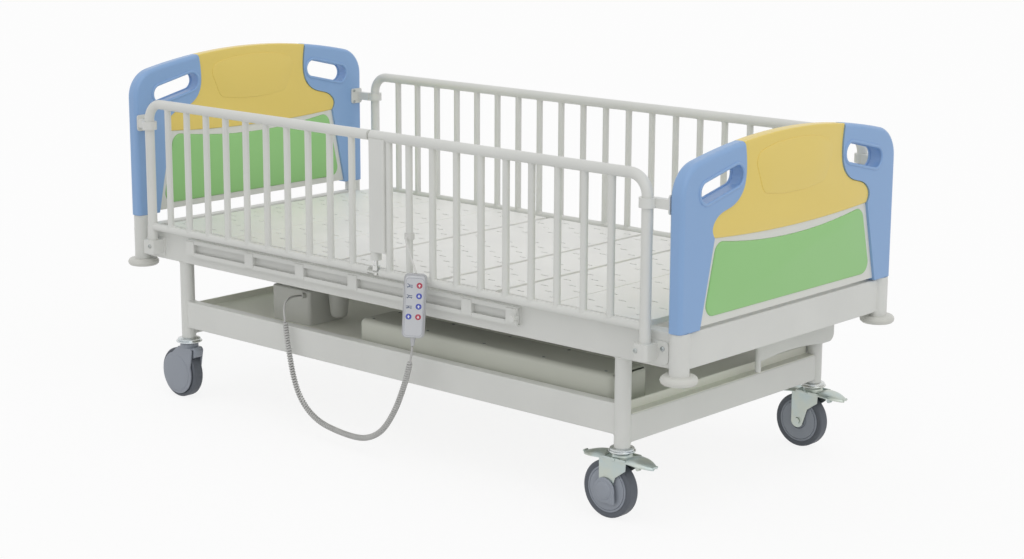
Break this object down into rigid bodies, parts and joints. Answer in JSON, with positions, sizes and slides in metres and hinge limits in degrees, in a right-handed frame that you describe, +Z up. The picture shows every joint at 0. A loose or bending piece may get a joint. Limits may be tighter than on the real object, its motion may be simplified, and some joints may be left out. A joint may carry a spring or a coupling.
{
  "type": "pediatric hospital cot",
  "caption": "Children's hospital cot with a profiling deck, hinged side gates, coloured head and foot boards, a corded handset and braked casters.",
  "frame": {"origin": "on the floor under the middle of the cot, between the four casters", "axes": "+X to the foot end, -Y to the side with the gates and the handset, +Z up"},
  "size_m": [2.129, 1.0256, 1.017],
  "materials": {
    "frame_paint": "satin",
    "rail_paint": "satin",
    "deck_paint": "satin",
    "tray_plastic": "matte",
    "board_blue": "satin",
    "board_yellow": "satin",
    "board_green": "satin",
    "board_white": "satin",
    "bumper_white": "matte",
    "bright_zinc": "brushed",
    "bright_chrome": "polished",
    "wheel_grey": "matte",
    "housing_grey": "matte",
    "box_grey": "matte",
    "handset_grey": "matte",
    "key_red": "satin",
    "key_blue": "satin",
    "cord_grey": "matte"
  },
  "bodies": {
    "frame": {"upper_side_beams": "frame_paint", "upper_end_beams": "frame_paint", "corner_sockets": "frame_paint", "corner_bumpers": "bumper_white", "chassis_legs": "frame_paint", "lower_side_beams": "frame_paint", "lower_end_beams": "frame_paint", "foot_cross_plate": "frame_paint", "deck_cross_tubes": "frame_paint", "base_tray": "tray_plastic", "base_cover": "tray_plastic", "control_box": "box_grey", "accessory_rail": "frame_paint", "seat_section": "deck_paint", "pivot_pins": "bright_zinc", "headboard_frame": "board_blue", "headboard_top_panel": "board_yellow", "headboard_lower_panel": "board_green", "footboard_frame": "board_blue", "footboard_top_panel": "board_yellow", "footboard_lower_panel": "board_green", "board_cores": "board_white", "rail_brackets": "frame_paint", "rail_collars": "rail_paint", "far_rail": "rail_paint", "caster_stems": "bright_chrome", "actuator_bodies": "box_grey", "curly_cord": "cord_grey", "cord_leads": "cord_grey"},
    "back_rest": {"back_section": "deck_paint"},
    "thigh_rest": {"thigh_section": "deck_paint", "knee_pin": "bright_zinc"},
    "calf_rest": {"calf_section": "deck_paint"},
    "back_rod": {"back_actuator_rod": "bright_chrome"},
    "leg_rod": {"leg_actuator_rod": "bright_chrome"},
    "head_side_gate": {"head_gate": "rail_paint"},
    "foot_side_gate": {"foot_gate": "rail_paint", "handset_back_shell": "handset_grey", "handset_front_shell": "handset_grey", "handset_hook": "handset_grey"},
    "latch_bolt": {"gate_latch": "bright_chrome"},
    "key_top": {"button_top": "key_red"},
    "key_upper": {"button_upper": "key_blue"},
    "key_lower": {"button_lower": "key_blue"},
    "key_bottom": {"button_bottom": "key_red"},
    "key_left": {"button_left": "key_blue"},
    "caster_head_near": {"housing_head_near": "housing_grey", "axle_head_near": "bright_zinc"},
    "roller_head_near": {"wheel_head_near": "wheel_grey"},
    "caster_head_far": {"housing_head_far": "housing_grey", "axle_head_far": "bright_zinc"},
    "roller_head_far": {"wheel_head_far": "wheel_grey"},
    "caster_foot_near": {"fork_foot_near": "bright_zinc", "axle_foot_near": "bright_zinc"},
    "brake_foot_near": {"pedal_foot_near": "bright_zinc"},
    "roller_foot_near": {"wheel_foot_near": "wheel_grey"},
    "caster_foot_far": {"fork_foot_far": "bright_zinc", "axle_foot_far": "bright_zinc"},
    "brake_foot_far": {"pedal_foot_far": "bright_zinc"},
    "roller_foot_far": {"wheel_foot_far": "wheel_grey"}
  },
  "joints": [
    {"name": "back_rest_raise", "type": "hinge", "parent": "frame", "child": "back_rest", "pos_m": [-0.15, 0, 0.5143], "axis": [0, 1, 0], "range_deg": [0, 70]},
    {"name": "thigh_rest_raise", "type": "hinge", "parent": "frame", "child": "thigh_rest", "pos_m": [0.227, 0, 0.5143], "axis": [0, -1, 0], "range_deg": [0, 40]},
    {"name": "calf_rest_bend", "type": "hinge", "parent": "thigh_rest", "child": "calf_rest", "pos_m": [0.428, 0, 0.5143], "axis": [0, 1, 0], "range_deg": [0, 55.2]},
    {"name": "back_rod_travel", "type": "slide", "parent": "frame", "child": "back_rod", "axis": [-1, 0, 0], "range_m": [0, 0.15307]},
    {"name": "leg_rod_travel", "type": "slide", "parent": "frame", "child": "leg_rod", "axis": [1, 0, 0], "range_m": [0, 0.0832]},
    {"name": "head_gate_swing", "type": "hinge", "parent": "frame", "child": "head_side_gate", "pos_m": [-0.934, -0.464, 0.66], "axis": [0, 0, -1], "range_deg": [0, 120]},
    {"name": "foot_gate_swing", "type": "hinge", "parent": "frame", "child": "foot_side_gate", "pos_m": [0.934, -0.464, 0.66], "axis": [0, 0, 1], "range_deg": [0, 120]},
    {"name": "latch_lift", "type": "slide", "parent": "foot_side_gate", "child": "latch_bolt", "axis": [0, 0, 1], "range_m": [0, 0.015], "stiffness_N_per_m": 250, "springref_m": -0.01},
    {"name": "key_top_press", "type": "slide", "parent": "foot_side_gate", "child": "key_top", "axis": [-0.6428, 0.766, 0], "range_m": [0, 0.0015], "stiffness_N_per_m": 300},
    {"name": "key_upper_press", "type": "slide", "parent": "foot_side_gate", "child": "key_upper", "axis": [-0.6428, 0.766, 0], "range_m": [0, 0.0015], "stiffness_N_per_m": 300},
    {"name": "key_lower_press", "type": "slide", "parent": "foot_side_gate", "child": "key_lower", "axis": [-0.6428, 0.766, 0], "range_m": [0, 0.0015], "stiffness_N_per_m": 300},
    {"name": "key_bottom_press", "type": "slide", "parent": "foot_side_gate", "child": "key_bottom", "axis": [-0.6428, 0.766, 0], "range_m": [0, 0.0015], "stiffness_N_per_m": 300},
    {"name": "key_left_press", "type": "slide", "parent": "foot_side_gate", "child": "key_left", "axis": [-0.6428, 0.766, 0], "range_m": [0, 0.0015], "stiffness_N_per_m": 300},
    {"name": "swivel_head_near", "type": "hinge", "parent": "frame", "child": "caster_head_near", "pos_m": [-0.834, -0.42, 0.17], "axis": [0, 0, 1], "continuous": true},
    {"name": "roll_head_near", "type": "hinge", "parent": "caster_head_near", "child": "roller_head_near", "pos_m": [-0.868, -0.42, 0.075], "axis": [0, 1, 0], "continuous": true},
    {"name": "swivel_head_far", "type": "hinge", "parent": "frame", "child": "caster_head_far", "pos_m": [-0.834, 0.42, 0.17], "axis": [0, 0, 1], "continuous": true},
    {"name": "roll_head_far", "type": "hinge", "parent": "caster_head_far", "child": "roller_head_far", "pos_m": [-0.868, 0.42, 0.075], "axis": [0, 1, 0], "continuous": true},
    {"name": "swivel_foot_near", "type": "hinge", "parent": "frame", "child": "caster_foot_near", "pos_m": [0.834, -0.42, 0.17], "axis": [0, 0, 1], "continuous": true},
    {"name": "roll_foot_near", "type": "hinge", "parent": "caster_foot_near", "child": "roller_foot_near", "pos_m": [0.8, -0.42, 0.075], "axis": [0, 1, 0], "continuous": true},
    {"name": "brake_press_foot_near", "type": "hinge", "parent": "caster_foot_near", "child": "brake_foot_near", "pos_m": [0.834, -0.42, 0.162], "axis": [0, 1, 0], "range_deg": [0, 10]},
    {"name": "swivel_foot_far", "type": "hinge", "parent": "frame", "child": "caster_foot_far", "pos_m": [0.834, 0.42, 0.17], "axis": [0, 0, 1], "continuous": true},
    {"name": "roll_foot_far", "type": "hinge", "parent": "caster_foot_far", "child": "roller_foot_far", "pos_m": [0.8, 0.42, 0.075], "axis": [0, 1, 0], "continuous": true},
    {"name": "brake_press_foot_far", "type": "hinge", "parent": "caster_foot_far", "child": "brake_foot_far", "pos_m": [0.834, 0.42, 0.162], "axis": [0, 1, 0], "range_deg": [0, 10]}
  ],
  "couplings": [
    {"joint": "calf_rest_bend", "follows": "thigh_rest_raise", "ratio": 1.38},
    {"joint": "back_rod_travel", "follows": "back_rest_raise", "m_per_rad": 0.12529},
    {"joint": "leg_rod_travel", "follows": "thigh_rest_raise", "m_per_rad": 0.11918}
  ]
}
